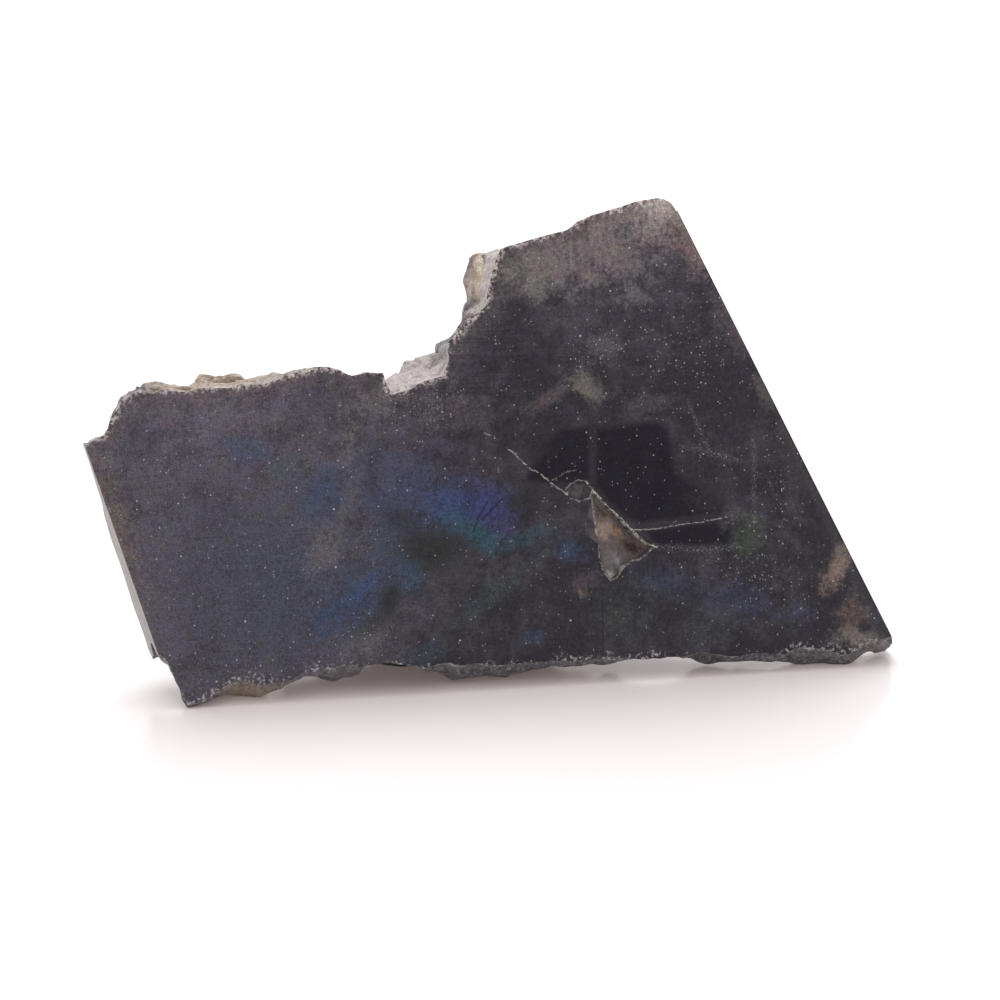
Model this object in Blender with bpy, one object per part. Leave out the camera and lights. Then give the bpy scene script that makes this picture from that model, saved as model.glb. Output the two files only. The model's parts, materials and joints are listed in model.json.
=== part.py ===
"""A rough lump of labradorite, sawn flat on its front, left and right, and broken everywhere else.

The lump is first shaped in the frame of its sawn front: u along the front, v into the stone, w up the front.
It is then leant back, stood on its broken underside, and moved so that its origin is on the surface it rests
on, under the middle of its box. Lengths in the tables are millimetres, and the finished mesh is in metres.
"""

import math

import bmesh
import bpy
import numpy as np
from mathutils import Matrix, Vector, noise

MM = 0.001
NAME = "labradorite_chunk"

# Driving dimensions, in millimetres and degrees.
BLOCK_DEPTH = 20.0
LEAN = 10.0
LEFT_FLARE = 3.0
SLICE = 1.15
SNAP = 0.2
MOST_TRIANGLES = 8200

# The sawn sides, each a line on the front through two points (u, w).
LEFT_CUT = ((-39.9, 26.6), (-33.6, 5.5))
RIGHT_CUT = ((18.4, 47.3), (39.9, 2.6))

# The broken upper edge of the front, left to right. Its ends stand past the sawn sides, which trim them.
UPPER_EDGE = (
    (-43.6, 25.0), (-40.0, 26.2), (-39.0, 26.7), (-38.0, 27.1), (-37.6, 27.8), (-37.2, 28.9), (-36.5, 30.2),
    (-35.5, 31.0), (-34.2, 31.3), (-33.3, 31.0), (-32.3, 31.3), (-29.7, 31.0), (-28.0, 31.3),
    (-25.4, 31.1), (-24.7, 31.4), (-22.5, 31.3), (-20.8, 31.8), (-19.1, 32.4), (-17.8, 32.6),
    (-16.4, 32.7), (-15.0, 32.3), (-13.8, 31.6), (-12.6, 31.9), (-10.7, 31.8), (-10.4, 30.6),
    (-10.0, 29.9), (-8.9, 30.1), (-7.2, 30.7), (-4.9, 31.2), (-4.4, 32.9), (-4.5, 34.1),
    (-3.9, 35.2), (-3.0, 36.3), (-1.8, 36.9), (-0.6, 37.7), (-0.3, 39.2), (0.1, 40.6),
    (0.6, 42.3), (1.1, 43.3), (3.1, 43.8), (5.6, 44.4), (7.7, 44.9), (8.9, 45.8),
    (10.6, 46.4), (12.2, 46.8), (15.0, 47.5), (16.7, 47.7), (17.6, 47.6), (18.3, 47.2),
    (18.9, 46.4), (20.9, 45.0),
)

# The broken lower edge, left to right.
LOWER_EDGE = (
    (-37.4, 4.4), (-33.5, 5.2), (-32.8, 4.3), (-32.2, 2.6), (-31.5, 0.8), (-31.0, 0.0),
    (-29.3, 0.3), (-27.6, 0.6), (-25.6, 1.1), (-23.8, 0.5), (-21.9, 0.9), (-20.2, 1.8),
    (-19.4, 2.3), (-18.0, 1.9), (-16.4, 1.8), (-14.6, 2.3), (-13.1, 3.0), (-11.4, 3.3),
    (-9.0, 2.9), (-6.6, 1.7), (-4.5, 0.8), (-2.4, 1.0), (-0.3, 1.0), (3.0, 1.2),
    (5.8, 1.3), (9.8, 1.6), (12.8, 2.0), (15.6, 2.0), (18.4, 2.0), (20.3, 2.4),
    (22.0, 2.0), (24.2, 1.4), (27.6, 0.8), (29.6, 0.5), (31.2, 0.1), (33.0, 0.0),
    (35.3, 0.0), (37.6, 1.1), (39.7, 1.6), (43.3, 3.4),
)

# How the broken rim goes back from the front edge, at places (u, w): the width of the chips along the front
# edge, and how far the rim draws in for each millimetre of depth. It flares out where that is negative.
RIM = (
    (-39.0, 27.0, 0.2, 0.05),
    (-36.5, 30.0, 0.2, 0.00),
    (-33.0, 31.2, 0.3, -0.02),
    (-30.0, 31.2, 0.3, -0.06),
    (-27.0, 31.2, 0.2, -0.13),
    (-24.5, 31.3, 0.2, -0.11),
    (-22.0, 31.5, 0.2, -0.02),
    (-18.0, 32.6, 0.1, 0.10),
    (-14.0, 31.6, 0.1, 0.40),
    (-11.0, 31.8, 0.1, 0.12),
    (-9.8, 30.0, 0.3, -0.04),
    (-8.4, 30.3, 0.4, -0.06),
    (-7.0, 30.7, 0.1, 0.00),
    (-5.4, 31.2, 0.1, -0.05),
    (-4.4, 34.0, 0.1, 0.18),
    (-3.2, 36.1, 0.1, 0.46),
    (-0.9, 37.7, 0.1, 0.14),
    (-0.1, 40.0, 0.1, -0.02),
    (0.5, 42.3, 0.1, -0.10),
    (1.5, 43.5, 0.1, 0.34),
    (5.0, 44.2, 0.1, 0.50),
    (10.0, 46.2, 0.2, 0.60),
    (16.5, 47.7, 0.2, 0.40),
    (24.5, 41.0, 0.0, 0.00),
    (31.0, 26.0, 0.0, 0.00),
    (37.5, 12.0, 0.0, 0.00),
    (36.5, 0.6, 1.4, 0.00),
    (31.0, 0.1, 2.2, 0.00),
    (27.0, 0.9, 1.1, 0.00),
    (22.0, 2.0, 0.2, 0.00),
    (15.0, 2.0, 0.2, 0.00),
    (9.0, 1.6, 1.0, 0.00),
    (3.0, 1.2, 1.4, 0.00),
    (-4.5, 0.8, 1.9, 0.00),
    (-9.5, 3.0, 0.1, 0.00),
    (-12.5, 3.2, 0.1, 0.00),
    (-16.0, 1.8, 1.5, 0.00),
    (-20.0, 1.8, 0.7, 0.00),
    (-23.0, 0.6, 1.4, 0.00),
    (-26.0, 1.0, 1.6, 0.00),
    (-30.0, 0.2, 0.5, 0.00),
    (-32.4, 3.0, 0.3, 0.00),
    (-37.5, 11.0, 0.0, 0.00),
    (-40.5, 20.0, 0.0, 0.00),
)
RIM_REACH = 7.0
RIM_BLEND = 3.2
ROW_BLEND = 0.05
CHIP_RUN = 1.1

# The broken back: its mean thickness, and lumps and hollows at (u, w), each with its reach along u and w and
# the thickness that it adds.
MEAN_THICKNESS = 9.0
LEAST_THICKNESS = 1.8
BACK_FORMS = (
    (-4.0, 0.0, 15.0, 15.0, 9.5),
    (-1.0, 33.0, 10.0, 13.0, 5.5),
    (-24.0, 19.0, 9.0, 8.0, 2.5),
    (15.0, 24.0, 11.0, 13.0, 4.5),
    (-42.0, 27.0, 8.0, 13.0, -7.6),
    (16.0, 48.0, 12.0, 7.0, -2.5),
    (40.0, 1.0, 8.0, 9.0, -5.0),
    (24.0, 3.0, 7.0, 6.0, -2.5),
    (-23.0, 3.0, 6.0, 5.0, -1.5),
)

# The broken underside: its height above the table behind the front edge, and the feet that it drops to and
# the arch that it rises to, at (u, v), each with its reach along u and v and its drop.
UNDERSIDE_RISE = 3.1
FEET = (
    (-3.0, 15.0, 12.0, 8.0, 4.2),
    (-29.5, 3.0, 4.5, 4.0, 3.4),
    (34.0, 2.5, 4.5, 4.0, 3.4),
    (19.0, 5.0, 8.0, 8.0, -1.6),
)
FRONT_STRETCH = (2.5, 7.0)
UNDERSIDE_REACH = 13.0

# The broken surface: low lumps, and on them flat cleavage facets of two sizes, each with its mean width and
# the height of its ridges.
CLEAVAGE = ((0.34, 0.86, 0.38), (-0.82, 0.14, 0.55))
FACETS = ((9.5, 3.0), (4.0, 1.2))
FACET_LEVEL = 0.62
LUMPS = (12.0, 0.9)
ROUGH_STRETCH = (0.3, 4.5)
SEED = Vector((3.7, 11.2, 5.9))

# The scar of a flake knocked out of the sawn front: its rim (u, w), with the depth at each point.
SCAR = (
    (9.6, 19.0, 0.5), (11.3, 17.3, 1.0), (13.4, 15.0, 1.3), (15.4, 13.4, 0.6), (14.0, 12.4, 0.7),
    (12.7, 11.7, 0.6), (11.1, 10.3, 0.2), (10.3, 11.7, 0.2), (10.1, 13.8, 0.25), (8.7, 15.0, 0.15),
    (8.9, 16.4, 0.2),
)
DENT = ((7.6, 9.8, 0.2), (9.1, 9.6, 0.5), (9.0, 8.6, 0.5), (8.0, 8.5, 0.25))
CUTTER_LEAD = 1.0


def clear_scene():
    for old in list(bpy.data.objects):
        bpy.data.objects.remove(old, do_unlink=True)


def new_collection(name):
    made = bpy.data.collections.new(name)
    bpy.context.scene.collection.children.link(made)
    return made


def smoothstep(x, low, high):
    t = np.clip((x - low) / (high - low), 0.0, 1.0)
    return t * t * (3.0 - 2.0 * t)


def outline():
    """The front's outline, clockwise from its left end."""
    return np.array(UPPER_EDGE + LOWER_EDGE[::-1])


def block_mesh():
    """The outline as a filled curve, extruded to the block's depth, with its front upright at v = 0."""
    curve = bpy.data.curves.new("outline", "CURVE")
    curve.dimensions = "2D"
    curve.fill_mode = "BOTH"
    curve.extrude = BLOCK_DEPTH / 2
    points = outline()
    spline = curve.splines.new("POLY")
    spline.points.add(len(points) - 1)
    for place, (u, w) in zip(spline.points, points):
        place.co = (u, w, 0.0, 1.0)
    spline.use_cyclic_u = True
    drawn = bpy.data.objects.new("outline", curve)
    bpy.context.scene.collection.objects.link(drawn)
    upright = Matrix.Translation((0, BLOCK_DEPTH / 2, 0)) @ Matrix.Rotation(math.radians(90), 4, "X")
    graph = bpy.context.evaluated_depsgraph_get()
    mesh = bpy.data.meshes.new_from_object(drawn.evaluated_get(graph))
    bpy.data.objects.remove(drawn)
    mesh.transform(upright)
    return mesh


def slice_along(form, axis, low, high):
    """Cuts the whole form with evenly spaced planes, so that its faces are small enough to shape."""
    normal = Vector((axis == 0, axis == 1, axis == 2))
    count = round((high - low) / SLICE)
    for place in np.linspace(low, high, count + 1)[1:-1]:
        everything = form.verts[:] + form.edges[:] + form.faces[:]
        bmesh.ops.bisect_plane(form, geom=everything, dist=SNAP, plane_co=normal * place, plane_no=normal)


def cut_flat(form, place, outward):
    """Takes away all that is past the plane, and closes the cut with a flat face."""
    everything = form.verts[:] + form.edges[:] + form.faces[:]
    cut = bmesh.ops.bisect_plane(
        form, geom=everything, dist=1e-5, plane_co=place, plane_no=outward, clear_outer=True
    )
    rim = [part for part in cut["geom_cut"] if isinstance(part, bmesh.types.BMEdge)]
    bmesh.ops.holes_fill(form, edges=rim, sides=0)


def keep_main_body(form):
    """Removes crumbs and closed pockets that the cuts part from the stone."""
    left = set(form.verts)
    bodies = []
    while left:
        body = {left.pop()}
        front = list(body)
        while front:
            corner = front.pop()
            near = {edge.other_vert(corner) for edge in corner.link_edges} - body
            body |= near
            front.extend(near)
        left -= body
        bodies.append(body)
    main_body = max(bodies, key=len)
    crumbs = [corner for corner in form.verts if corner not in main_body]
    bmesh.ops.delete(form, geom=crumbs, context="VERTS")


def nearest_on_outline(u, w):
    """For each point, its distance to the outline and the nearest place on the outline."""
    start = outline()
    end = np.roll(start, -1, axis=0)
    along = end - start
    point = np.stack([u, w], axis=1)[:, None, :]
    share = ((point - start) * along).sum(axis=2) / (along**2).sum(axis=1)
    near = start + np.clip(share, 0.0, 1.0)[:, :, None] * along
    gap = np.linalg.norm(point - near, axis=2)
    best = gap.argmin(axis=1)
    rows = np.arange(len(u))
    return gap[rows, best], near[rows, best]


def inward_directions(u, w):
    """A smooth field that points into the stone: the inward normals of the outline nearby, blended."""
    start = outline()
    end = np.roll(start, -1, axis=0)
    along = end - start
    length = np.linalg.norm(along, axis=1)
    inward = np.stack([along[:, 1], -along[:, 0]], axis=1) / length[:, None]
    middle = (start + end) / 2
    gap = np.linalg.norm(np.stack([u, w], axis=1)[:, None, :] - middle, axis=2)
    weight = length * np.exp(-((gap / RIM_BLEND) ** 2))
    field = (weight[:, :, None] * inward).sum(axis=1)
    return field / (np.linalg.norm(field, axis=1)[:, None] + 1e-9)


def rim_values(near):
    """The chip width and the draw-in at places on the outline, blended from the rim's table."""
    table = np.array(RIM)
    gap = np.linalg.norm(near[:, None, :] - table[:, :2], axis=2)
    weight = 1.0 / (gap**3 + ROW_BLEND)
    weight /= weight.sum(axis=1)[:, None]
    return weight @ table[:, 2], weight @ table[:, 3]


def hills(x, y, forms):
    """The sum of smooth hills, each at a place, with its reach both ways and its height."""
    total = np.zeros_like(x)
    for at_x, at_y, reach_x, reach_y, height in forms:
        total += height * np.exp(-(((x - at_x) / reach_x) ** 2) - ((y - at_y) / reach_y) ** 2)
    return total


def lower_edge_height(u):
    return np.interp(u, [place[0] for place in LOWER_EDGE], [place[1] for place in LOWER_EDGE])


def thin_to_back(points):
    """Squeezes the block's depth to the stone's own thickness at each place."""
    thickness = MEAN_THICKNESS + hills(points[:, 0], points[:, 2], BACK_FORMS)
    points[:, 1] *= np.maximum(thickness, LEAST_THICKNESS) / BLOCK_DEPTH


def draw_in_rim(points):
    """Chips the front edge, and draws the broken rim in or out with depth."""
    gap, near = nearest_on_outline(points[:, 0], points[:, 2])
    chip, draw = rim_values(near)
    depth = points[:, 1]
    inward = inward_directions(points[:, 0], points[:, 2])
    amount = draw * depth + chip * np.clip(1.0 - depth / (CHIP_RUN * chip + 0.05), 0.0, 1.0)
    amount *= np.clip(1.0 - gap / RIM_REACH, 0.0, 1.0) ** 1.5
    points[:, 0] += amount * inward[:, 0]
    points[:, 2] += amount * inward[:, 1]


def set_underside(points):
    """Raises or drops the lower part, so that the underside arches between its feet once the stone leans."""
    u, v, w = points.T
    lean = math.radians(LEAN)
    front = lower_edge_height(u)
    behind = (UNDERSIDE_RISE - hills(u, v, FEET) + v * math.sin(lean)) / math.cos(lean)
    share = smoothstep(v, *FRONT_STRETCH)
    fade = np.clip(1.0 - (w - front) / UNDERSIDE_REACH, 0.0, 1.0) ** 2
    points[:, 2] += fade * share * (behind - front)


def facet(place, width, height):
    """The height at a place on flat facets that meet in ridges and valleys, turned to the cleavage."""
    first = Vector(CLEAVAGE[0]).normalized()
    second = Vector(CLEAVAGE[1]).normalized()
    third = first.cross(second).normalized()
    turned = Vector((place.dot(first), place.dot(second), place.dot(third))) / width
    from_centre = noise.voronoi(turned, distance_metric="MANHATTAN")[0][0]
    return height * (FACET_LEVEL - from_centre)


def broken_height(place):
    """How far the broken surface stands out at a place: low lumps and cleavage facets."""
    height = LUMPS[1] * noise.noise(place / LUMPS[0])
    for width, step in FACETS:
        height += facet(place, width, step)
    return height


def roughen(form):
    """Moves the broken surfaces in and out. The front stays flat, and the rim near it moves less."""
    form.normal_update()
    moves = []
    for corner in form.verts:
        depth = corner.co.y
        share = float(smoothstep(depth, *ROUGH_STRETCH))
        moves.append(corner.normal * broken_height(corner.co + SEED) * share)
    for corner, move in zip(form.verts, moves):
        corner.co += move
        corner.co.y = max(corner.co.y, 0.0)


def saw_sides(form):
    """Saws the left and the right side straight through. The left side widens a little towards the back."""
    for (low, high), outward_sign, flare in ((LEFT_CUT, -1, LEFT_FLARE), (RIGHT_CUT, 1, 0.0)):
        run = Vector((high[0] - low[0], 0.0, high[1] - low[1])).normalized()
        outward = Vector((-run.z, 0.0, run.x))
        if outward.x * outward_sign < 0:
            outward.negate()
        slant = math.radians(flare)
        outward = outward * math.cos(slant) - Vector((0, 1, 0)) * math.sin(slant)
        cut_flat(form, Vector((low[0], 0.0, low[1])), outward)


def scar_cutter(name, rim, collection):
    """A cutter with the rim's outline in front of the face and its own depth at each point of the rim."""
    form = bmesh.new()
    corners = [form.verts.new((u, -CUTTER_LEAD, w)) for u, w, _ in rim]
    lid = bmesh.ops.contextual_create(form, geom=corners)["faces"]
    made = bmesh.ops.extrude_face_region(form, geom=lid, use_keep_orig=True)["geom"]
    depths = {(round(u, 3), round(w, 3)): depth for u, w, depth in rim}
    for corner in [part for part in made if isinstance(part, bmesh.types.BMVert)]:
        corner.co.y = depths[(round(corner.co.x, 3), round(corner.co.z, 3))]
    bmesh.ops.triangulate(form, faces=form.faces[:])
    bmesh.ops.recalc_face_normals(form, faces=form.faces[:])
    return link_mesh(name, form, collection)


def link_mesh(name, form, collection):
    mesh = bpy.data.meshes.new(name)
    form.to_mesh(mesh)
    form.free()
    made = bpy.data.objects.new(name, mesh)
    collection.objects.link(made)
    return made


def stone_material():
    """Dark grey-violet feldspar, half matt from the saw."""
    material = bpy.data.materials.new("labradorite")
    material.use_nodes = True
    shader = material.node_tree.nodes["Principled BSDF"]
    shader.inputs["Base Color"].default_value = (0.11, 0.10, 0.125, 1.0)
    shader.inputs["Roughness"].default_value = 0.45
    shader.inputs["Metallic"].default_value = 0.0
    return material


def shaped_stone():
    """The stone in the frame of its front, in millimetres, with its sawn front and sides."""
    mesh = block_mesh()
    form = bmesh.new()
    form.from_mesh(mesh)
    bpy.data.meshes.remove(mesh)
    bmesh.ops.remove_doubles(form, verts=form.verts[:], dist=1e-4)
    bmesh.ops.dissolve_limit(form, angle_limit=0.001, verts=form.verts[:], edges=form.edges[:])
    edge = outline()
    slice_along(form, 0, edge[:, 0].min(), edge[:, 0].max())
    slice_along(form, 2, edge[:, 1].min(), edge[:, 1].max())
    slice_along(form, 1, 0.0, BLOCK_DEPTH)
    bmesh.ops.triangulate(form, faces=form.faces[:])
    points = np.array([corner.co for corner in form.verts])
    thin_to_back(points)
    draw_in_rim(points)
    set_underside(points)
    for corner, point in zip(form.verts, points):
        corner.co = point
    roughen(form)
    saw_sides(form)
    keep_main_body(form)
    return form


def add_modifier(stone, kind, name, **settings):
    modifier = stone.modifiers.new(name, kind)
    for setting, value in settings.items():
        setattr(modifier, setting, value)


def apply_modifiers(stone):
    graph = bpy.context.evaluated_depsgraph_get()
    finished = bpy.data.meshes.new_from_object(stone.evaluated_get(graph))
    stone.modifiers.clear()
    old = stone.data
    stone.data = finished
    bpy.data.meshes.remove(old)


def stand_up(stone):
    """Leans the stone back, makes metres of it, cuts its feet level, and puts the origin under its middle."""
    form = bmesh.new()
    form.from_mesh(stone.data)
    lean = Matrix.Rotation(-math.radians(LEAN), 4, "X")
    bmesh.ops.transform(form, matrix=lean, verts=form.verts[:])
    cut_flat(form, Vector((0, 0, 0)), Vector((0, 0, -1)))
    keep_main_body(form)
    bmesh.ops.triangulate(form, faces=form.faces[:])
    low = np.min([corner.co for corner in form.verts], axis=0)
    high = np.max([corner.co for corner in form.verts], axis=0)
    middle = Vector(((low[0] + high[0]) / 2, (low[1] + high[1]) / 2, low[2]))
    bmesh.ops.translate(form, vec=-middle, verts=form.verts[:])
    bmesh.ops.scale(form, vec=(MM, MM, MM), verts=form.verts[:])
    form.to_mesh(stone.data)
    form.free()


def main():
    clear_scene()
    parts = new_collection(NAME)
    cutters = new_collection("cutters")
    stone = link_mesh(NAME, shaped_stone(), parts)
    share = MOST_TRIANGLES / sum(len(face.vertices) - 2 for face in stone.data.polygons)
    add_modifier(stone, "DECIMATE", "fewer faces", ratio=min(1.0, share))
    # A Boolean gives its corners in a different order each run, so the cutters come after the thinning out.
    for name, rim in (("scar_cutter", SCAR), ("dent_cutter", DENT)):
        cutter = scar_cutter(name, rim, cutters)
        cutter.hide_render = True
        cutter.display_type = "WIRE"
        add_modifier(stone, "BOOLEAN", name, object=cutter, operation="DIFFERENCE", solver="EXACT")
    apply_modifiers(stone)
    stand_up(stone)
    stone.data.materials.clear()
    stone.data.materials.append(stone_material())


main()
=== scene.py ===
"""The look of a rough labradorite chunk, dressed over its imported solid.

The stone is worked on in the frame of its sawn front: u along the front, v into the stone, w up the
front. Places in the tables below are millimetres in that frame.
"""

import json
import math

import bpy
from mathutils import Matrix, Vector


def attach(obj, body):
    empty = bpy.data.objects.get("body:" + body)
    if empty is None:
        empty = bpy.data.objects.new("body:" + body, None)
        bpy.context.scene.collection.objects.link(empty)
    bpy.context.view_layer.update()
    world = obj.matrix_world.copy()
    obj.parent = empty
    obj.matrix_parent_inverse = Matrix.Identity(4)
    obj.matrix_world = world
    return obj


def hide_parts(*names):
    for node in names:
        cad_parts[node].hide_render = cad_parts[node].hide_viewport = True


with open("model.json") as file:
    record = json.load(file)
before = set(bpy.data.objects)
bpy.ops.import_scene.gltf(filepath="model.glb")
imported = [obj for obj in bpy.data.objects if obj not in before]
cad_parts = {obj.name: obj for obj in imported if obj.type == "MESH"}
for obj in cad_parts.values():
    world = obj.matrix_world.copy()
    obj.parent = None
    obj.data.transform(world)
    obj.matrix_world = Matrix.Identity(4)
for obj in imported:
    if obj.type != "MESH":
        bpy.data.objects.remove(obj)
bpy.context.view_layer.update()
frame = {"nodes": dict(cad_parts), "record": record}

MM = 0.001

# The place on the sawn front that the record's mount names, the sawn planes, each with a place on it and
# the way that it faces, and how near to a plane a corner is taken to be on it.
KNOWN_PLACE = Vector((0.0, 0.0, 24.0))
FLAT_GAP = 0.02
SAWN_PLANES = (
    ((0.0, 0.0, 0.0), (0.0, -1.0, 0.0)),
    ((-39.9, 0.0, 26.6), (-0.95689, -0.05234, -0.28571)),
    ((39.9, 0.0, 2.6), (0.90115, 0.0, 0.43350)),
)

# Working sizes of the piece, in millimetres and degrees.
MERGE_GAP = 0.001
FLAT_ANGLE = 0.5
BROKEN_CUTS = 2
ARRIS = 0.12
SMOOTH_ANGLE = 24.0
FOOT_FADE = 1.5

# The boxes round the hollows in the front and round the notch in the top, each from its least to its most
# u, v and w, and how much of the chipping is left there.
SCAR_BOX = ((7.3, -1.0, 8.2), (15.7, 1.6, 19.3))
NOTCH_BOX = ((-11.0, -1.0, 29.0), (4.0, 40.0, 46.0))
SCAR_CHIPS = 0.12
NOTCH_CHIPS = 0.4

# How the broken surface and its rim are chipped: the pattern, its size and settings, how far it pushes, the
# corners that it pushes, and the way.
CHIPPING = (
    ("VORONOI", 2.4, {"distance_metric": "MANHATTAN"}, -0.42, "broken", "NORMAL"),
    ("VORONOI", 1.0, {"distance_metric": "MANHATTAN"}, -0.2, "broken", "NORMAL"),
    ("CLOUDS", 0.6, {"noise_depth": 3}, 0.16, "broken", "NORMAL"),
    ("CLOUDS", 0.7, {"noise_depth": 2}, 0.26, "rim", "Z"),
    ("CLOUDS", 0.9, {"noise_depth": 2}, 0.26, "rim", "X"),
)

# How far past its reach a patch is still measured, so that its edge can be ragged.
SPARE = 1.8

# The camera, from the known place on the front.
CAMERA_AWAY = (-62.411, -332.765, 91.678)
CAMERA_TURN = 10.7048
CAMERA_DIP = 16.0
CAMERA_LENS = 129.6

# How bright the front stands in the studio, and the veil of light that its gloss lays over it.
# The colours below are given as they look on the front, and these turn them into the stone's own.
FRONT_LIGHT = (0.742, 0.693, 0.696)
FRONT_VEIL = (0.0157, 0.0149, 0.0147)

# The light of the room in front, the light above and behind, and that of the high window, with the way
# that it shines and its width in degrees.
DIM_ROOM = (0.18, 0.135, 0.125, 1.0)
BRIGHT_ROOM = (0.94, 0.92, 0.93, 1.0)
WINDOW_LIGHT = 1.5
WINDOW_WAY = (0.10, -0.42, -1.0)
WINDOW_WIDTH = 40.0

# The table top: its size in metres, its colour, and its faint glow.
TABLE_SIZE = 8.0
TABLE_COLOUR = (0.93, 0.90, 0.90, 1.0)
TABLE_GLOW = (1.0, 0.80, 0.75, 1.0)
TABLE_GLOW_SHARE = 0.10

# The gloss of the stone.
GLOSS = {"IOR": 1.56, "Specular IOR Level": 0.28}

# Lines on the front: the crack to the scar, a dash before it, the ring at its end, the scar's edges, the
# loops beside it, and finer lines to its right.
CRACK = ((1.0, 23.9), (1.7, 23.4), (3.4, 21.7), (4.3, 21.2), (5.4, 20.2), (7.1, 18.9))
RING = (
    (7.1, 18.9), (6.9, 19.5), (7.4, 20.0), (8.2, 20.3), (8.9, 20.2), (9.5, 19.3), (9.3, 18.5), (8.3, 18.2),
    (7.3, 18.6),
)
DASH = ((-1.0, 25.4), (-0.2, 25.0))
SPUR = ((5.6, 20.4), (6.9, 21.1), (8.0, 21.4))
BRIGHT_EDGE = ((9.0, 20.1), (9.7, 19.1), (11.3, 17.3), (12.2, 16.5), (13.4, 15.1), (14.8, 13.7), (15.9, 13.3))
SCAR_RIM = (
    (9.5, 19.0), (9.7, 16.9), (10.0, 14.3), (10.1, 12.3), (10.4, 11.2), (11.1, 10.2), (11.7, 10.4),
    (12.4, 11.4), (13.1, 11.9), (14.2, 12.2), (15.5, 13.2),
)
LOOPS = ((9.9, 16.9), (9.1, 16.6), (8.8, 15.9), (9.0, 15.2), (9.4, 14.7), (10.0, 14.2))
LONG_LINE = ((13.4, 15.1), (16.0, 15.1), (18.4, 15.4), (20.9, 15.6), (23.0, 15.9))
UNDER_LINE = ((15.6, 13.3), (18.0, 13.1), (21.2, 12.7), (23.5, 12.9))
HIGH_LINE = ((18.6, 23.1), (21.4, 22.4), (24.5, 21.4))
UPRIGHT_LINE = ((26.0, 23.4), (25.8, 15.4))
SLANT_LINE = ((19.4, 27.5), (20.8, 24.0), (21.5, 22.4))

# The light lines, each with its width and share, and the soft trails, each with its width.
LIGHT_LINES = (
    (CRACK, 0.10, 0.75), (DASH, 0.10, 0.5), (RING, 0.12, 0.4), (SPUR, 0.12, 0.25),
    (BRIGHT_EDGE, 0.12, 0.9), (SCAR_RIM, 0.12, 0.4), (LOOPS, 0.12, 0.35), (LONG_LINE, 0.09, 0.5),
)
TRAILS = ((UNDER_LINE, 0.6), (HIGH_LINE, 0.45), (UPRIGHT_LINE, 0.4), (SLANT_LINE, 0.4))

# The dark cracks in the flash and at the lower right, each with its width and share.
DARK_CRACKS = (
    (((0.7, 18.9), (-0.4, 18.0), (-1.5, 16.9)), 0.2, 1.0),
    (((-1.0, 18.6), (-1.9, 17.0), (-2.4, 15.8)), 0.18, 1.0),
    (((10.3, 8.3), (10.1, 2.9)), 0.14, 1.0),
    (((13.6, 8.6), (13.3, 5.0)), 0.3, 0.5),
)

# The upper and the lower edge of the front, roughly.
TOP_RIM = (
    (-39.9, 26.3), (-38.0, 27.1), (-35.5, 31.0), (-22.5, 31.3), (-17.8, 32.6), (-10.7, 31.8), (-10.0, 29.9),
    (-4.9, 31.2), (-4.5, 34.1), (-0.6, 37.7), (1.1, 43.3), (7.7, 44.9), (10.6, 46.4), (18.0, 47.7),
)
BOTTOM_RIM = (
    (39.9, 2.5), (34.0, 1.6), (30.5, 2.5), (26.0, 0.9), (12.0, 2.4), (-3.0, 2.2), (-18.0, 3.2), (-21.5, 1.8),
    (-25.0, 2.8), (-30.8, 0.3),
)

# The bands of the flash and the slanted scratches: their turn in degrees, and their size.
BANDS = (44.0, (7.0, 1.1))
SCRATCHES = (-11.0, (3.2, 0.13))

# Where the specks crowd: centre and reach. The first is turned by CROWD_TURN degrees.
CROWD_TURN = 25
CROWDS = (
    ((19.5, 33.5), (8.0, 9.0)), ((10.0, 33.0), (4.5, 3.6)), ((27.5, 18.0), (3.6, 9.0)),
    ((26.5, 10.6), (6.5, 4.5)), ((30.5, 7.0), (3.5, 3.0)), ((-7.5, 28.5), (6.0, 4.0)),
    ((-27.0, 2.6), (6.0, 3.2)), ((-14.5, 5.5), (4.0, 2.4)),
)

# Specks of three sizes: cells to a millimetre, how far a speck is full and how far it reaches, above what
# chance a cell has one, how much a crowd lowers that, and the speck's share.
SPECKS = (
    (3.8, 0.10, 0.32, 0.90, 0.40, 0.55),
    (2.4, 0.08, 0.24, 0.88, 0.42, 0.8),
    (1.0, 0.05, 0.12, 0.86, 0.2, 1.0),
)


def linear(level):
    """A level of a colour from 0 to 255, as the share of light that it stands for."""
    share = level / 255.0
    return share / 12.92 if share <= 0.04045 else ((share + 0.055) / 1.055) ** 2.4


def seen(red, green, blue):
    """The stone's own colour that looks like this one in the studio."""
    levels = zip((red, green, blue), FRONT_VEIL, FRONT_LIGHT)
    return tuple(max(0.0015, (linear(level) - veil) / light) for level, veil, light in levels) + (1.0,)


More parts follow.
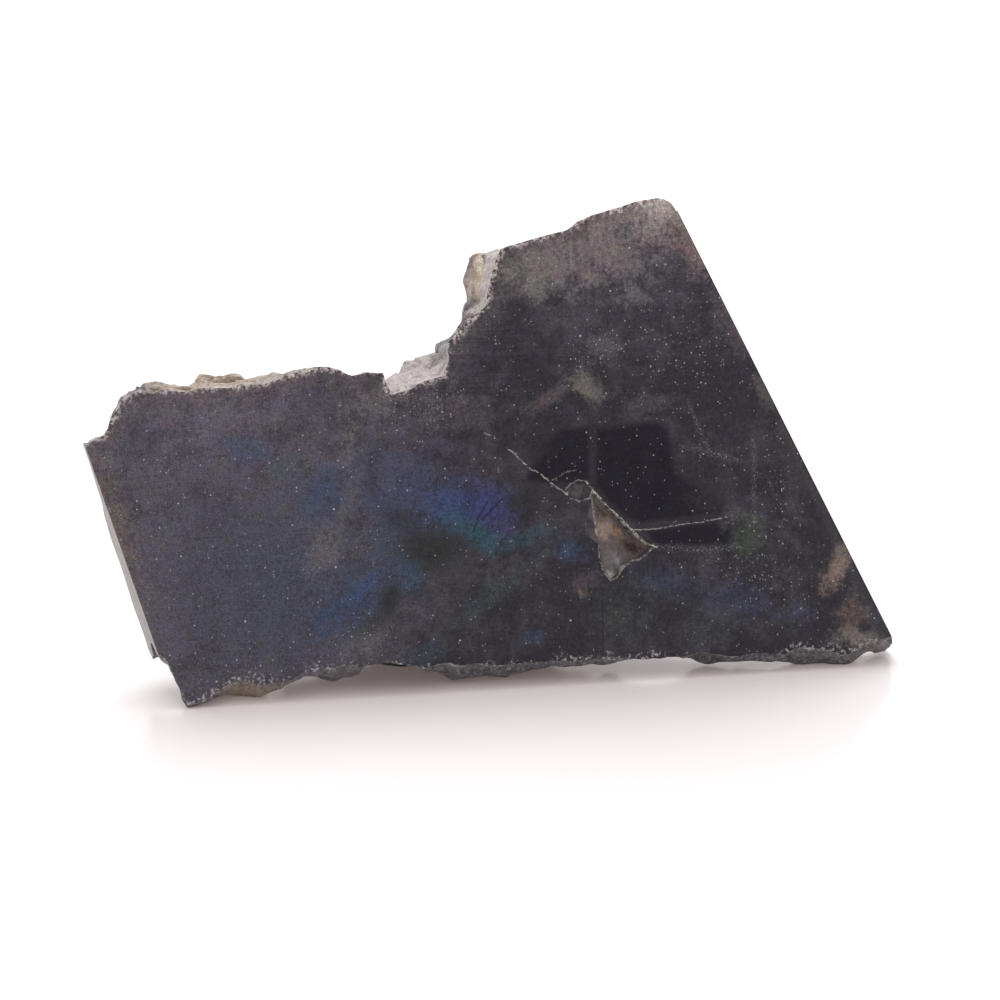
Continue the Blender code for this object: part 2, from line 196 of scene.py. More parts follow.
class Level:
    """A socket that carries one number, so that sums of numbers read as sums."""

    def __init__(self, finish, socket):
        self.finish = finish
        self.socket = socket

    def _sum(self, operation, *values):
        inputs = dict(enumerate(values))
        made = self.finish.node("ShaderNodeMath", {"operation": operation}, inputs)
        return Level(self.finish, made.outputs[0])

    def __add__(self, other):
        return self._sum("ADD", self, other)

    def __radd__(self, other):
        return self._sum("ADD", other, self)

    def __sub__(self, other):
        return self._sum("SUBTRACT", self, other)

    def __rsub__(self, other):
        return self._sum("SUBTRACT", other, self)

    def __mul__(self, other):
        return self._sum("MULTIPLY", self, other)

    def __rmul__(self, other):
        return self._sum("MULTIPLY", other, self)

    def over(self, other):
        """1 where this is more than the other, else 0."""
        return self._sum("GREATER_THAN", self, other)

    def least(self, other):
        return self._sum("MINIMUM", self, other)

    def most(self, other):
        return self._sum("MAXIMUM", self, other)

    def held(self):
        """The same, kept from 0 to 1."""
        return self.most(0.0).least(1.0)

    def rise(self, low, high, top=1.0):
        """0 at low, the top at high, and smooth between them. High may be the lower one."""
        made = self.finish.node(
            "ShaderNodeMapRange",
            {"interpolation_type": "SMOOTHSTEP", "clamp": False},
            {"Value": self, "From Min": low, "From Max": high, "To Max": top},
        )
        return Level(self.finish, made.outputs["Result"])


class Finish:
    """The nodes of one finish, in a material or in the world."""

    def __init__(self, owner):
        owner.use_nodes = True
        self.owner = owner
        self.tree = owner.node_tree
        self.tree.nodes.clear()

    def node(self, kind, settings=None, inputs=None):
        """Adds a node, gives it its settings, and then links or fills its sockets."""
        made = self.tree.nodes.new(kind)
        for name, setting in (settings or {}).items():
            setattr(made, name, setting)
        for name, given in (inputs or {}).items():
            socket = made.inputs[name]
            given = given.socket if isinstance(given, Level) else given
            if isinstance(given, bpy.types.NodeSocket):
                self.tree.links.new(given, socket)
            else:
                socket.default_value = given
        return made

    def level(self, socket):
        return Level(self, socket)

    def vector(self, operation, first, second=None, scale=None):
        inputs = {0: first}
        if second is not None:
            inputs[1] = second
        if scale is not None:
            inputs["Scale"] = scale
        return self.node("ShaderNodeVectorMath", {"operation": operation}, inputs)

    def moved(self, operation, first, second=None, scale=None):
        return self.vector(operation, first, second, scale).outputs["Vector"]

    def measure(self, operation, first, second=None):
        return self.level(self.vector(operation, first, second).outputs["Value"])

    def joined(self, x, y, z):
        return self.node("ShaderNodeCombineXYZ", None, {0: x, 1: y, 2: z}).outputs[0]

    def parts(self, place):
        split = self.node("ShaderNodeSeparateXYZ", None, {0: place})
        return [self.level(socket) for socket in split.outputs]

    def noise(self, place, scale, detail=2.0, rough=0.5):
        inputs = {"Vector": place, "Scale": scale, "Detail": detail, "Roughness": rough}
        return self.node("ShaderNodeTexNoise", None, inputs)

    def grain(self, place, scale, detail=2.0, rough=0.5):
        return self.level(self.noise(place, scale, detail, rough).outputs[0])

    def cells(self, place, scale, distance="EUCLIDEAN"):
        inputs = {"Vector": place, "Scale": scale}
        return self.node("ShaderNodeTexVoronoi", {"distance": distance}, inputs)

    def chances(self, cells):
        """Three levels drawn for each cell."""
        split = self.node("ShaderNodeSeparateColor", None, {0: cells.outputs["Color"]})
        return [self.level(socket) for socket in split.outputs]

    def warped(self, place, scale, reach):
        """The place, pushed about by noise."""
        push = self.moved("SUBTRACT", self.noise(place, scale).outputs["Color"], (0.5, 0.5, 0.5))
        return self.moved("ADD", place, self.moved("MULTIPLY", push, (reach, reach, 0.0)))

    def mix(self, share, first, second):
        return self.node("ShaderNodeMix", {"data_type": "RGBA"}, {0: share, 6: first, 7: second}).outputs[2]

    def turned(self, place, turn, size, centre=(0.0, 0.0)):
        """The place as seen from a centre, turned by degrees, and measured in the size."""
        return self.node(
            "ShaderNodeMapping",
            {"vector_type": "TEXTURE"},
            {
                "Vector": place,
                "Location": (*centre, 0.0),
                "Rotation": (0.0, 0.0, math.radians(turn)),
                "Scale": (*size, 1.0),
            },
        ).outputs[0]

    def patch(self, place, centre, reach, turn=0.0, soft=0.7, ragged=0.0, share=1.0):
        """A soft oval round a centre, which falls to nothing at its reach, or near it where it is ragged."""
        local = self.turned(place, turn, (reach[0] * SPARE, reach[1] * SPARE), centre)
        ball = self.node("ShaderNodeTexGradient", {"gradient_type": "SPHERICAL"}, {"Vector": local})
        inside = self.level(ball.outputs["Fac"])
        if ragged:
            inside = inside + ragged
        edge = (SPARE - 1.0) / SPARE
        return inside.rise(edge, edge + soft / SPARE, share)

    def facet(self, place, corners, soft, ragged):
        """The inside of a ring of corners that bulges outward everywhere, given clockwise."""
        inside = None
        for start, end in zip(corners, corners[1:] + corners[:1]):
            run = Vector((end[0] - start[0], end[1] - start[1])).normalized()
            inward = (run.y, -run.x, 0.0)
            edge_depth = inward[0] * start[0] + inward[1] * start[1]
            depth = self.measure("DOT_PRODUCT", place, inward) - edge_depth
            inside = depth if inside is None else inside.least(depth)
        return (inside + ragged).rise(0.0, soft)

    def away_from(self, place, points):
        """The distance to a chain of straight lines."""
        gap = None
        for start, end in zip(points, points[1:]):
            start, end = Vector((*start, 0.0)), Vector((*end, 0.0))
            run = end - start
            local = self.moved("SUBTRACT", place, start)
            along = self.measure("DOT_PRODUCT", local, run / run.length_squared).held()
            step = self.measure("DISTANCE", local, self.moved("SCALE", run, scale=along))
            gap = step if gap is None else gap.least(step)
        return gap

    def crack(self, place, points, width):
        """1 on a chain of straight lines, and 0 from its width on."""
        return self.away_from(place, points).rise(width, width * 0.3)

    def cracks(self, place, rows):
        """Several chains of lines, each with its width and its share."""
        drawn = None
        for points, width, share in rows:
            one = self.crack(place, points, width) * share
            drawn = one if drawn is None else drawn.most(one)
        return drawn


# Colours of the stone as they look on the front.
GREY_VIOLET = (88, 82, 91)
DEEP_VIOLET = (55, 52, 58)
SLATE = (73, 72, 83)
GLASSY_DARK = (38, 36, 43)
WARM_GREY = (96, 86, 87)
PALE_RIM = (186, 172, 168)
TAN = (160, 141, 126)
PINK_GREY = (164, 150, 148)
CRUSHED = (176, 168, 168)
BROKEN_GREY = (116, 109, 114)
BROKEN_DARK = (64, 60, 66)
BRIGHT_LINE = (184, 180, 170)
SPECK = (188, 182, 184)
GREEN_GREY = (70, 76, 67)
FLASH_VIOLET = (64, 66, 104)
SOFT_BLUE = (66, 70, 92)
FLASH_TEAL = (52, 84, 92)
FLASH_OLIVE = (50, 51, 50)

# Glassy cleavages below the front, with their corners clockwise.
GLASSY = (
    ((3.1, 20.6), (5.0, 24.2), (6.5, 25.3), (9.5, 25.4), (9.3, 20.3), (7.4, 19.9)),
    (
        (10.1, 25.3), (16.2, 25.6), (17.2, 24.8), (18.0, 20.6), (17.0, 17.6), (14.4, 15.6), (12.6, 16.4),
        (9.9, 19.6),
    ),
    ((14.2, 18.8), (17.6, 20.6), (20.4, 19.0), (22.6, 17.4), (22.6, 16.2), (14.2, 15.8)),
    ((14.8, 15.0), (23.0, 15.6), (23.9, 14.4), (23.0, 13.2), (15.9, 13.4)),
)

# Clouds, veins and stains, and painted light at the thin top corner and lower right corner: centre, reach,
# turn in degrees, colour and share.
STAINS_AND_THIN_EDGE_GLOW = (
    ((9.2, 29.5), (2.9, 1.9), -35, (116, 109, 103), 0.75),
    ((5.2, 28.4), (4.2, 1.2), 25, WARM_GREY, 0.5),
    ((-3.0, 27.6), (4.5, 2.4), -10, (82, 75, 78), 0.6),
    ((14.2, 38.2), (2.4, 1.5), -35, (100, 95, 100), 0.8),
    ((11.3, 33.2), (2.6, 2.2), 0, (92, 86, 90), 0.6),
    ((15.6, 27.4), (3.6, 1.5), 8, (82, 74, 80), 0.6),
    ((5.0, 41.6), (6.6, 4.4), 12, (113, 106, 103), 0.9),
    ((11.5, 43.4), (10.5, 6.2), 14, (108, 99, 101), 1.0),
    ((12.5, 46.2), (7.5, 1.8), 14, (122, 111, 110), 0.8),
    # The next two rows are painted light coming through the thin top corner.
    ((16.6, 46.6), (5.4, 3.6), -10, (138, 126, 125), 0.95),
    ((17.4, 47.3), (3.0, 2.4), -20, PALE_RIM, 1.0),
    ((19.8, 43.4), (2.6, 5.4), 24, (118, 102, 100), 0.8),
    ((23.6, 35.5), (1.8, 5.0), 26, (88, 78, 82), 0.7),
    ((-17.4, 14.6), (2.2, 3.4), -15, (116, 108, 110), 0.75),
    ((-14.6, 19.4), (1.4, 4.0), -25, (90, 86, 88), 0.8),
    ((-10.2, 20.6), (2.8, 1.2), -35, (92, 90, 88), 0.7),
    ((-14.2, 25.2), (1.2, 4.4), -16, (100, 94, 96), 0.6),
    ((-11.5, 29.2), (4.2, 2.4), 0, (98, 91, 94), 0.7),
    ((-13.4, 5.6), (3.6, 1.6), 28, (98, 94, 98), 0.8),
    ((8.4, 10.2), (2.2, 1.2), 35, (88, 78, 82), 0.6),
    ((0.6, 11.6), (4.4, 2.8), 20, (76, 68, 74), 0.6),
    ((25.2, 13.8), (2.6, 3.6), 8, GREEN_GREY, 0.7),
    ((8.2, 19.3), (1.2, 0.9), 0, (96, 94, 88), 0.5),
    ((23.6, 15.9), (2.0, 1.2), 20, (84, 78, 84), 0.7),
    ((34.2, 10.2), (1.6, 3.8), -28, (126, 109, 100), 0.85),
    # The next two rows are painted light coming through the thin lower right corner.
    ((35.4, 5.2), (2.2, 3.0), -25, (98, 84, 82), 0.75),
    ((36.3, 2.9), (4.0, 1.5), -8, (112, 104, 102), 0.85),
    ((27.2, 28.0), (1.2, 2.2), 26, (100, 94, 92), 0.5),
    ((-37.0, 18.0), (2.4, 12.0), 15, (98, 88, 86), 0.7),
    ((-28.0, 31.4), (11.0, 2.0), 2, (112, 104, 100), 0.7),
    ((-27.0, 28.0), (9.0, 4.0), -4, (94, 86, 96), 0.6),
    ((21.2, 18.8), (3.2, 4.4), 10, (54, 51, 56), 0.75),
    ((1.5, 35.5), (5.0, 4.0), 10, (58, 55, 62), 0.6),
    ((13.6, 30.6), (6.0, 2.4), 15, (66, 61, 66), 0.5),
    ((29.5, 22.0), (3.0, 8.0), 26, (64, 58, 62), 0.6),
    ((8.0, 36.6), (5.0, 2.0), 10, (76, 71, 78), 0.5),
    ((-4.5, 24.4), (3.4, 1.4), -12, (70, 66, 78), 0.6),
)

# The colour flash: centre, reach, turn in degrees, colour and share.
FLASHES = (
    ((-21.0, 11.0), (13.0, 12.0), -10, (70, 72, 84), 0.8),
    ((-8.4, 19.6), (9.5, 6.0), -28, SOFT_BLUE, 0.9),
    ((-1.2, 17.8), (5.2, 4.2), -24, FLASH_VIOLET, 1.0),
    ((-4.4, 18.6), (4.0, 3.0), -30, (60, 74, 112), 0.9),
    ((-2.2, 15.6), (5.0, 1.7), -32, FLASH_TEAL, 0.9),
    ((-17.2, 20.3), (3.6, 3.8), -20, (66, 74, 96), 0.9),
    ((-24.5, 25.0), (4.0, 2.2), -20, (72, 78, 98), 0.8),
    ((-20.4, 22.6), (3.4, 2.6), 0, (76, 82, 90), 0.6),
    ((-13.2, 10.4), (6.6, 3.8), 34, (63, 73, 96), 0.9),
    ((-16.4, 8.4), (4.6, 2.7), 34, (61, 70, 96), 0.8),
    ((-8.8, 12.2), (2.0, 3.8), 14, (62, 78, 100), 0.8),
    ((-11.0, 15.6), (3.0, 2.6), 0, (66, 74, 88), 0.7),
    ((2.6, 14.6), (4.8, 1.6), 18, (56, 74, 82), 0.75),
    ((7.2, 13.4), (2.6, 2.0), 0, (60, 72, 92), 0.8),
    ((0.0, 10.2), (9.0, 1.7), 38, (62, 72, 76), 0.7),
    ((-8.0, 3.8), (3.4, 2.0), 30, (62, 74, 84), 0.6),
    ((3.2, 5.2), (1.6, 1.4), 0, (66, 76, 96), 0.6),
    ((16.6, 9.6), (4.6, 2.4), -12, (64, 67, 82), 0.7),
    ((23.4, 7.6), (6.0, 3.4), -8, (66, 68, 84), 0.7),
    ((12.6, 6.6), (5.0, 4.6), 0, (66, 69, 68), 0.75),
    ((20.4, 5.0), (5.0, 3.0), 0, (68, 72, 72), 0.6),
    ((30.0, 5.6), (3.4, 2.2), 10, (68, 68, 82), 0.7),
)

# On the broken sides: tan and pinkish where the stone is thin, partly painted light coming through the thin
# stone and partly its own tan colour.
BROKEN_GLOW_AND_STAINS = (
    ((-27.0, 31.8), (9.5, 3.0), 2, TAN, 0.9),
    ((-38.5, 27.5), (2.5, 2.5), 0, PINK_GREY, 0.8),
    ((-10.0, 31.5), (3.4, 3.0), 0, PINK_GREY, 0.85),
    ((-6.5, 32.4), (4.6, 4.0), 20, PINK_GREY, 0.85),
    ((-3.0, 36.0), (3.6, 3.0), 0, (136, 122, 118), 0.8),
    ((0.3, 41.0), (3.2, 6.5), 0, PINK_GREY, 0.9),
    ((0.9, 40.4), (0.9, 3.8), -8, (188, 170, 148), 0.8),
    ((10.0, 46.6), (12.0, 2.8), 12, (142, 130, 126), 0.85),
    ((37.0, 1.6), (4.0, 2.0), 0, (112, 102, 98), 0.7),
)

# Inside the scar: tan at the top, grey where it is clear, brown at the lower right, and pale thin lips.
SCAR_STAINS = (
    ((9.2, 15.8), (1.2, 1.5), 0, (66, 64, 74), 0.95),
    ((10.6, 16.8), (1.1, 2.6), 14, (84, 72, 66), 0.8),
    ((10.9, 15.2), (1.2, 1.9), 10, (146, 126, 116), 0.95),
    ((12.2, 14.8), (1.4, 0.8), -48, (134, 106, 86), 0.9),
    ((13.6, 13.3), (1.9, 1.1), -25, (60, 50, 46), 1.0),
    ((14.6, 13.6), (1.0, 0.6), -40, (112, 90, 76), 0.8),
    ((11.2, 12.4), (1.0, 1.6), 8, (108, 100, 100), 0.9),
    ((12.0, 11.9), (0.5, 1.4), 14, (142, 140, 146), 0.6),
    ((11.2, 10.8), (0.9, 0.7), 0, (152, 144, 140), 0.9),
    ((8.4, 9.1), (1.4, 1.0), 0, (104, 92, 94), 0.9),
)

# Where the flash goes out.
DARK_FLASHES = (
    ((-10.9, 9.6), (1.5, 2.8), -22, FLASH_OLIVE, 0.9),
    ((-6.4, 14.2), (5.4, 3.0), -6, FLASH_OLIVE, 0.9),
    ((-9.6, 17.2), (3.4, 1.8), -30, (54, 55, 58), 0.7),
    ((-12.6, 7.2), (3.0, 1.4), 38, (58, 58, 62), 0.6),
    ((4.6, 23.6), (3.0, 2.0), 30, (50, 48, 50), 0.7),
    ((2.8, 18.4), (2.4, 1.6), 0, (50, 49, 52), 0.8),
)


def front_frame():
    """The matrix from the front's frame to the part's."""
    mount = next(mount for mount in frame["record"]["mounts"] if mount["name"] == "sawn_face")
    inward = -Vector(mount["axis"]).normalized()
    along = Vector((1, 0, 0))
    turned = Matrix((along, inward, along.cross(inward))).transposed().to_4x4()
    turned.translation = Vector(mount["pos_m"]) - turned.to_3x3() @ (KNOWN_PLACE * MM)
    return turned


FRONT = front_frame()


def work_on(piece):
    """Selects only this piece, and makes it the active one."""
    bpy.ops.object.select_all(action="DESELECT")
    piece.select_set(True)
    bpy.context.view_layer.objects.active = piece


def start_edit(kind):
    bpy.ops.object.mode_set(mode="EDIT")
    bpy.ops.mesh.select_mode(type=kind)
    bpy.ops.mesh.select_all(action="DESELECT")
    bpy.ops.object.mode_set(mode="OBJECT")


def edit_faces(piece, wanted):
    """Goes into edit mode with only the wanted faces selected."""
    start_edit("FACE")
    for face in piece.data.polygons:
        face.select = bool(wanted(face))
    bpy.ops.object.mode_set(mode="EDIT")


def edit_edges(piece, wanted):
    """Goes into edit mode with only the wanted edges selected."""
    start_edit("EDGE")
    for edge in piece.data.edges:
        edge.select = bool(wanted(edge))
    bpy.ops.object.mode_set(mode="EDIT")


def planes_of(place):
    """The sawn planes that a place is on."""
    found = set()
    for number, (point, normal) in enumerate(SAWN_PLANES):
        if abs((place - Vector(point) * MM).dot(Vector(normal).normalized())) < FLAT_GAP * MM:
            found.add(number)
    return found


class StoneLook:
    """What the sawn and the broken finish share: places on the stone, its noises and its body colour."""

    def __init__(self, name):
        self.look = look = Finish(bpy.data.materials.new(name))
        to_front = FRONT.inverted()
        self.place = look.node(
            "ShaderNodeMapping",
            {"vector_type": "POINT"},
            {
                "Vector": look.node("ShaderNodeTexCoord").outputs["Object"],
                "Location": to_front.translation / MM,
                "Rotation": to_front.to_euler(),
                "Scale": (1 / MM, 1 / MM, 1 / MM),
            },
        ).outputs[0]
        self.u, self.v, self.w = look.parts(self.place)
        self.flat = look.joined(self.u, self.w, 0.0)
        self.broad = look.grain(self.place, 0.16, 2.0, 0.5)
        self.middle = look.grain(self.place, 0.55, 3.0, 0.6)
        self.small = look.grain(self.place, 2.4, 2.0, 0.6)
        self.ragged = (self.middle - 0.5) * 0.8 + (self.small - 0.5) * 0.4
        left = self.u.rise(4.0, -24.0)
        high = self.w.rise(30.0, 46.0)
        light = left * 0.8 + high * 0.55 + (self.broad - 0.5) * 1.3 + (self.middle - 0.5) * 0.9
        light = (light + 0.05).held()
        self.colour = look.mix(light, seen(*DEEP_VIOLET), seen(*GREY_VIOLET))

    def lay(self, mask, shade):
        """Lays a shade over the colour so far, where the mask is."""
        self.colour = self.look.mix(mask, self.colour, seen(*shade))

    def spread(self, rows, soft=0.9, ragged=1.0):
        """Lays the patches of a table."""
        edge = self.ragged * ragged
        for centre, reach, turn, shade, share in rows:
            self.lay(self.look.patch(self.flat, centre, reach, turn, soft, edge, share), shade)

    def finished(self, rough, height):
        """The material with its colour so far, its roughness, and its bump in millimetres."""
        look = self.look
        bump = look.node("ShaderNodeBump", None, {"Strength": 1.0, "Distance": MM, "Height": height})
        shader = look.node(
            "ShaderNodeBsdfPrincipled",
            None,
            {
                "Base Color": self.colour,
                "Roughness": rough.held(),
                "Normal": bump.outputs[0],
                **GLOSS,
            },
        )
        look.node("ShaderNodeOutputMaterial", None, {"Surface": shader.outputs[0]})
        return look.owner


def sawn_finish():
    """The sawn front and ends: semi-matt, clouded, with the flash, cracks, specks and saw marks."""
    stone = StoneLook("sawn labradorite")
    look, place, flat = stone.look, stone.place, stone.flat
    middle, small, lay = stone.middle, stone.small, stone.lay
    fine = look.warped(flat, 1.6, 0.75)
    grain = look.noise(place, 6.0, 2.0, 0.65)
    grit = look.level(grain.outputs[0])

    lay(look.patch(flat, (-24.0, 13.0), (17.0, 15.0), -10, 1.0, stone.ragged, 0.75), SLATE)
    bitten = stone.ragged * 1.8 + 0.45
    for corners in GLASSY:
        lay(look.facet(flat, list(corners), 0.9, bitten) * 0.92, GLASSY_DARK)
    stone.spread(STAINS_AND_THIN_EDGE_GLOW)

    # The flash lies in bands that rise to the right.
    bands = look.grain(look.turned(flat, *BANDS), 1.0, 3.0, 0.6)
    plain = stone.colour
    stone.spread(FLASHES, 1.0, 0.8)
    stone.colour = look.mix(0.62 + bands.rise(0.36, 0.58) * 0.38, plain, stone.colour)
    stone.spread(DARK_FLASHES, 0.9, 0.9)

    # Painted light: thin edges let warm light through, so the top and bottom rims are painted lighter and
    # warmer, and the left sawn side is painted lighter, as lit from behind.
    rim = look.away_from(flat, TOP_RIM)
    lay(rim.rise(2.6, 0.0, 0.9) * (middle * 1.6 - 0.3).held(), WARM_GREY)
    lay((rim - stone.ragged * 2.0).rise(0.7, 0.0, 0.75) * small.rise(0.42, 0.56), (186, 174, 170))
    foot = look.away_from(flat, BOTTOM_RIM)
    lay((foot - stone.ragged * 3.0).rise(0.7, 0.1, 0.7) * small.rise(0.48, 0.62), (164, 156, 156))
    lay(stone.v.rise(0.08, 0.25, 0.9) * stone.u.rise(-24.0, -28.0), (128, 121, 117))

    # Saw marks, slanted scratches, streaks under the top, and grain.
    level_place = look.moved("MULTIPLY", place, (0.10, 0.10, 3.0))
    saw_lines = look.grain(level_place, 1.0, 3.0, 0.75)
    scratches = look.grain(look.turned(flat, *SCRATCHES), 1.0, 1.0, 0.5).rise(0.66, 0.76)
    upright = look.grain(look.moved("MULTIPLY", place, (2.0, 0.2, 0.22)), 1.0, 2.0, 0.6)
    under_top = look.patch(flat, (12.0, 44.0), (11.0, 6.5), 14, 0.7)
    sawn_deep = look.patch(flat, (-1.5, 33.0), (6.5, 6.5), 0, 0.6)
    tone = (
        1.0
        + (saw_lines - 0.5) * (0.40 + sawn_deep * 1.6)
        + (middle - 0.5) * 0.7
        + (small - 0.5) * 1.4
        + (grit - 0.5) * 2.1
        + (upright - 0.5) * (under_top * 0.9 + 0.12)
        + scratches * 0.22
    )
    stone.colour = look.moved("SCALE", stone.colour, scale=tone)
    hues = look.moved("ADD", grain.outputs["Color"], look.noise(place, 0.9, 2.0, 0.7).outputs["Color"])
    tint = look.moved("ADD", look.moved("SCALE", hues, scale=0.42), (0.58, 0.58, 0.58))
    stone.colour = look.moved("MULTIPLY", stone.colour, tint)

    # Crushed light and dark grains beside the notch, and pebbly grains to the right.
    chips = look.cells(fine, 3.2)
    chip_tone = look.chances(chips)[0]
    crush = look.patch(flat, (-5.4, 28.6), (4.4, 3.2), 20, 1.2, stone.ragged * 1.8, 0.6)
    lay(crush * (grit.rise(0.54, 0.68) + chip_tone.over(0.86) * 0.5).held(), (118, 111, 115))
    lay(crush * grit.rise(0.44, 0.32), (42, 40, 44))
    pebbles = look.patch(flat, (25.0, 10.6), (7.0, 3.2), -6, 0.7, stone.ragged)
    pebbles = pebbles.most(look.patch(flat, (13.0, 28.2), (3.4, 1.6), 0, 0.7, stone.ragged, 0.8))
    lay(pebbles * look.level(chips.outputs["Distance"]).rise(0.34, 0.12) * chip_tone, (118, 110, 116))

    # Dark cracks, and light ones.
    traced = look.warped(flat, 2.0, 0.3)
    lay(look.cracks(traced, DARK_CRACKS) * 0.6, (40, 40, 50))
    lay(look.cracks(traced, LIGHT_LINES) * (small * 5.0 + grit * 3.0 - 3.4).held(), BRIGHT_LINE)
    trails = None
    for line, width in TRAILS:
        drawn = look.away_from(fine, line).rise(width, 0.0)
        trails = drawn if trails is None else trails.most(drawn)
    lay(trails * grit.rise(0.46, 0.66, 0.5), (132, 128, 128))

    # Specks: fine ones all over, crowded in places, and a few larger ones.
    crowd = look.patch(flat, *CROWDS[0], CROWD_TURN, 0.9)
    for centre, reach in CROWDS[1:]:
        crowd = crowd.most(look.patch(flat, centre, reach, soft=0.9))
    dots = None
    for scale, near, far, least, crowding, share in SPECKS:
        cell = look.cells(place, scale)
        chance = look.chances(cell)
        shown = chance[0].over(least - crowd * crowding)
        shown = shown * (chance[1] * share)
        dot = look.level(cell.outputs["Distance"]).rise(far, near) * shown
        dots = dot if dots is None else dots.most(dot)
    lay(dots, SPECK)

    rough = 0.44 + (saw_lines - 0.5) * 0.3 + (small - 0.5) * 0.25
    return stone.finished(rough, saw_lines * 0.010 + small * 0.016)


def broken_finish():
    """The broken sides: shards and crumbs, with painted light making them lighter and warmer where the stone
    is thin.
    """
    stone = StoneLook("broken labradorite")
    look, place, flat, lay = stone.look, stone.place, stone.flat, stone.lay
    shards = look.cells(place, 1.3, distance="MANHATTAN")
    crumbs = look.cells(place, 3.6)
    shard = look.level(shards.outputs["Distance"])
    crumb = look.level(crumbs.outputs["Distance"])
    shard_tone = look.chances(shards)[0]
    # Painted light: the broken sides are painted lighter near the front, where thin rims are lit from behind,
    # with random tone between shards.
    near_front = stone.v.rise(7.0, 0.5)
    backlight_and_tone = (near_front * 0.5 + (stone.middle - 0.5) * 2.2 + (shard_tone - 0.5) * 1.1 + 0.3).held()
    stone.colour = look.mix(0.8, stone.colour, look.mix(backlight_and_tone, seen(*BROKEN_DARK), seen(*BROKEN_GREY)))
    stone.spread(BROKEN_GLOW_AND_STAINS, 0.7, 0.7)
    scar = look.patch(flat, (12.0, 14.6), (7.0, 8.0), 0, 0.2) * stone.v.rise(2.2, 1.6)
    # Painted light: the thin foot at the lower left is painted tan, as lit through from behind.
    thin_foot_glow = look.patch(flat, (-24.3, 0.8), (4.4, 2.0), 0, 0.8, stone.ragged, 0.8)
    crumbled = crumb.rise(0.4, 0.62) * stone.small.rise(0.46, 0.6) * (0.35 + near_front * 0.65)
    crushed = (1.0 - scar) * (shard.rise(0.5, 0.85) * 0.4 + crumbled).held()
    low = stone.w.rise(9.0, 4.0)
    lay(low * (1.0 - scar) * 0.6, (74, 70, 76))
    lay(crushed * (0.25 + near_front * 0.3) * (1.0 - low * 0.5), CRUSHED)
    lay(stone.v.rise(0.5, 0.1, 0.7) * stone.small.rise(0.48, 0.6) * (1.0 - scar), CRUSHED)
    lay(thin_foot_glow, (146, 132, 118))
    lay(scar * 0.9, (98, 88, 88))
    for centre, reach, turn, shade, share in SCAR_STAINS:
        lay(scar * look.patch(flat, centre, reach, turn, 0.9, stone.ragged * 1.4, share), shade)
    lips = look.crack(flat, BRIGHT_EDGE, 0.2).most(look.crack(flat, SCAR_RIM, 0.14) * 0.7)
    lay(lips * scar * stone.small.rise(0.4, 0.56, 0.8), BRIGHT_LINE)
    tone = 1.0 + (stone.small - 0.5) * 0.5 + (crumb - 0.4) * 0.25 * (1.0 - scar)
    stone.colour = look.moved("SCALE", stone.colour, scale=tone)
    rough = 0.45 + (shard_tone - 0.5) * 0.4 + (stone.small - 0.5) * 0.3
    return stone.finished(rough, shard * -0.18 + crumb * -0.05 + stone.small * 0.05)


def pattern(kind, size, settings):
    """A pattern for the modifiers that push the broken surface about."""
    made = bpy.data.textures.new(kind.lower(), kind)
    made.noise_scale = size * MM
    for name, setting in settings.items():
        setattr(made, name, setting)
    return made


def push(piece, texture, strength, group, direction):
    """Displaces the piece by a pattern, and applies it."""
    modifier = piece.modifiers.new("push", "DISPLACE")
    modifier.texture = texture
    modifier.texture_coords = "LOCAL"
    modifier.direction = direction
    modifier.strength = strength * MM
    modifier.vertex_group = group
    work_on(piece)
    bpy.ops.object.modifier_apply(modifier=modifier.name)


def is_in(box, place):
    """Whether a place is in a box."""
    return all(low < at < high for low, at, high in zip(box[0], place / MM, box[1]))


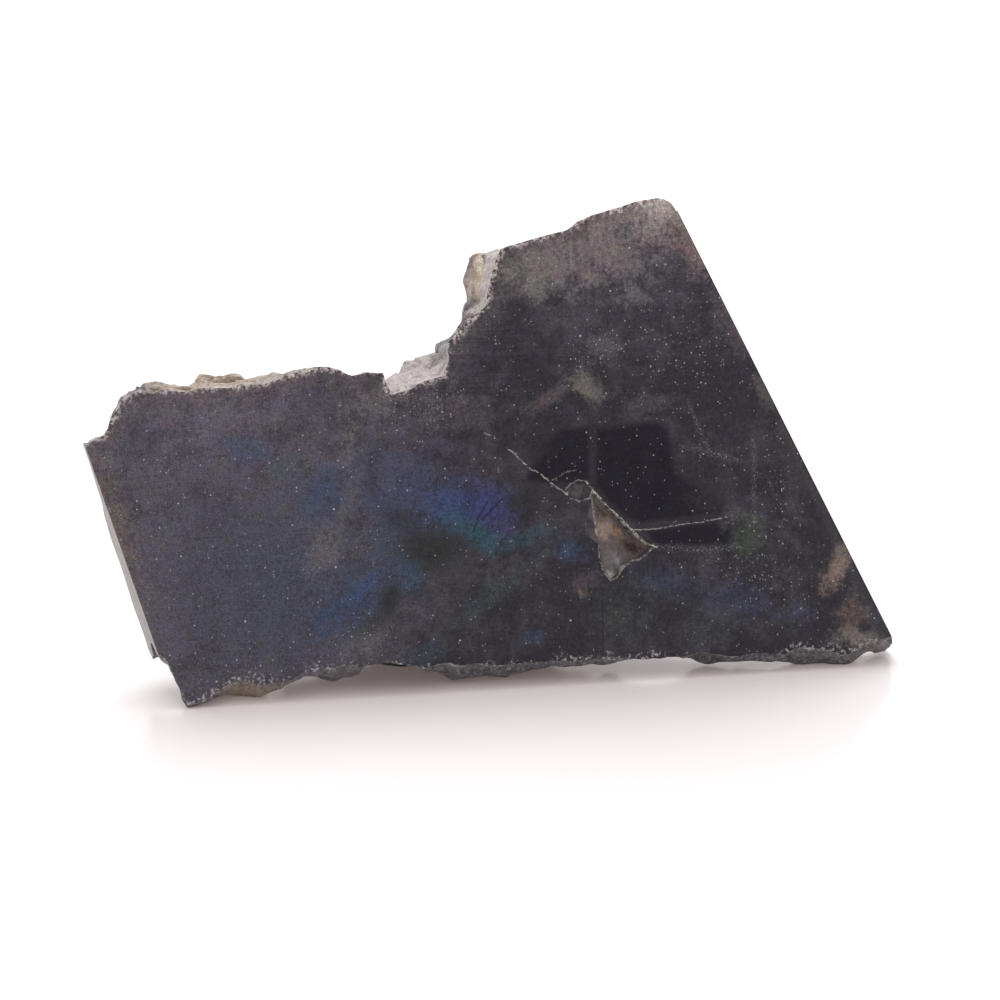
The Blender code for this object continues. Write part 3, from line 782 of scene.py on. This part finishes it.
def shape_stone():
    """The stone, worked up from its solid: flats joined, broken faces cut finer and chipped."""
    solid = frame["nodes"]["labradorite_chunk"]
    stone = bpy.data.objects.new("stone", solid.data.copy())
    bpy.context.scene.collection.objects.link(stone)
    stone.data.transform(FRONT.inverted())
    work_on(stone)
    bpy.ops.object.mode_set(mode="EDIT")
    bpy.ops.mesh.select_all(action="SELECT")
    bpy.ops.mesh.remove_doubles(threshold=MERGE_GAP * MM)
    bpy.ops.object.mode_set(mode="OBJECT")

    def planes_of_face(face):
        corners = [planes_of(stone.data.vertices[number].co) for number in face.vertices]
        return set.intersection(*corners)

    edit_faces(stone, planes_of_face)
    bpy.ops.mesh.dissolve_limited(angle_limit=math.radians(FLAT_ANGLE))
    bpy.ops.object.mode_set(mode="OBJECT")
    edit_faces(stone, lambda face: not planes_of_face(face))
    bpy.ops.mesh.subdivide(number_cuts=BROKEN_CUTS)
    bpy.ops.object.mode_set(mode="OBJECT")

    stone.data.materials.clear()
    stone.data.materials.append(sawn_finish())
    stone.data.materials.append(broken_finish())
    rim = set()
    for face in stone.data.polygons:
        face.material_index = 0 if planes_of_face(face) else 1
        if face.material_index == 1:
            rim.update(face.vertices)
    broken_group = stone.vertex_groups.new(name="broken")
    rim_group = stone.vertex_groups.new(name="rim")
    for corner in stone.data.vertices:
        planes = planes_of(corner.co)
        height = (FRONT @ corner.co).z / MM
        weight = min(1.0, max(0.0, height / FOOT_FADE))
        in_scar = is_in(SCAR_BOX, corner.co)
        if planes == {0} and corner.index in rim and not in_scar:
            rim_group.add([corner.index], weight, "REPLACE")
        elif not planes:
            share = SCAR_CHIPS if in_scar else NOTCH_CHIPS if is_in(NOTCH_BOX, corner.co) else 1.0
            broken_group.add([corner.index], weight * share, "REPLACE")
    for kind, size, settings, strength, group, direction in CHIPPING:
        push(stone, pattern(kind, size, settings), strength, group, direction)

    def is_arris(edge):
        ends = [planes_of(stone.data.vertices[number].co) for number in edge.vertices]
        return len(ends[0] & ends[1]) == 2

    edit_edges(stone, is_arris)
    bpy.ops.mesh.bevel(offset=ARRIS * MM, segments=2, affect="EDGES")
    bpy.ops.object.mode_set(mode="OBJECT")
    stone.data.transform(FRONT)
    work_on(stone)
    bpy.ops.object.shade_smooth_by_angle(angle=math.radians(SMOOTH_ANGLE))
    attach(stone, "root")
    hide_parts("labradorite_chunk")


def lay_floor():
    """A pale table top with a weak gloss and a faint glow."""
    bpy.ops.object.select_all(action="DESELECT")
    bpy.ops.mesh.primitive_plane_add(size=TABLE_SIZE, location=(0, 0, 0))
    floor = bpy.context.object
    floor.name = "floor"
    look = Finish(bpy.data.materials.new("pale table"))
    shader = look.node(
        "ShaderNodeBsdfPrincipled",
        None,
        {
            "Base Color": TABLE_COLOUR,
            "Roughness": 0.16,
            "Specular IOR Level": 0.35,
            "Emission Color": TABLE_GLOW,
            "Emission Strength": TABLE_GLOW_SHARE,
        },
    )
    look.node("ShaderNodeOutputMaterial", None, {"Surface": shader.outputs[0]})
    floor.data.materials.append(look.owner)


def set_light():
    """Soft light all round above, a high window behind, and a dimmer room in front."""
    world = bpy.data.worlds.new("studio")
    bpy.context.scene.world = world
    look = Finish(world)
    direction = look.parts(look.node("ShaderNodeTexCoord").outputs["Generated"])
    lit = direction[1].rise(-0.35, 0.5).most(direction[2].rise(0.1, 0.7))
    colour = look.mix(lit, DIM_ROOM, BRIGHT_ROOM)
    sky = look.node("ShaderNodeBackground", None, {"Color": colour, "Strength": 1.0})
    look.node("ShaderNodeOutputWorld", None, {"Surface": sky.outputs[0]})
    sun = bpy.data.lights.new("high window", "SUN")
    sun.energy = WINDOW_LIGHT
    sun.angle = math.radians(WINDOW_WIDTH)
    lamp = bpy.data.objects.new("high window", sun)
    bpy.context.scene.collection.objects.link(lamp)
    lamp.rotation_euler = Vector(WINDOW_WAY).to_track_quat("-Z", "Y").to_euler()


def set_camera():
    camera = bpy.data.objects.new("camera", bpy.data.cameras.new("camera"))
    bpy.context.scene.collection.objects.link(camera)
    camera.data.lens = CAMERA_LENS
    camera.data.clip_start = 0.01
    camera.data.clip_end = 20.0
    turn, dip = math.radians(CAMERA_TURN), math.radians(CAMERA_DIP)
    ahead = Vector((math.sin(turn) * math.cos(dip), math.cos(turn) * math.cos(dip), -math.sin(dip)))
    camera.location = FRONT @ (KNOWN_PLACE * MM) + Vector(CAMERA_AWAY) * MM
    camera.rotation_euler = ahead.to_track_quat("-Z", "Y").to_euler()
    bpy.context.scene.camera = camera


set_camera()
shape_stone()
lay_floor()
set_light()
bpy.context.scene.view_settings.view_transform = "Standard"
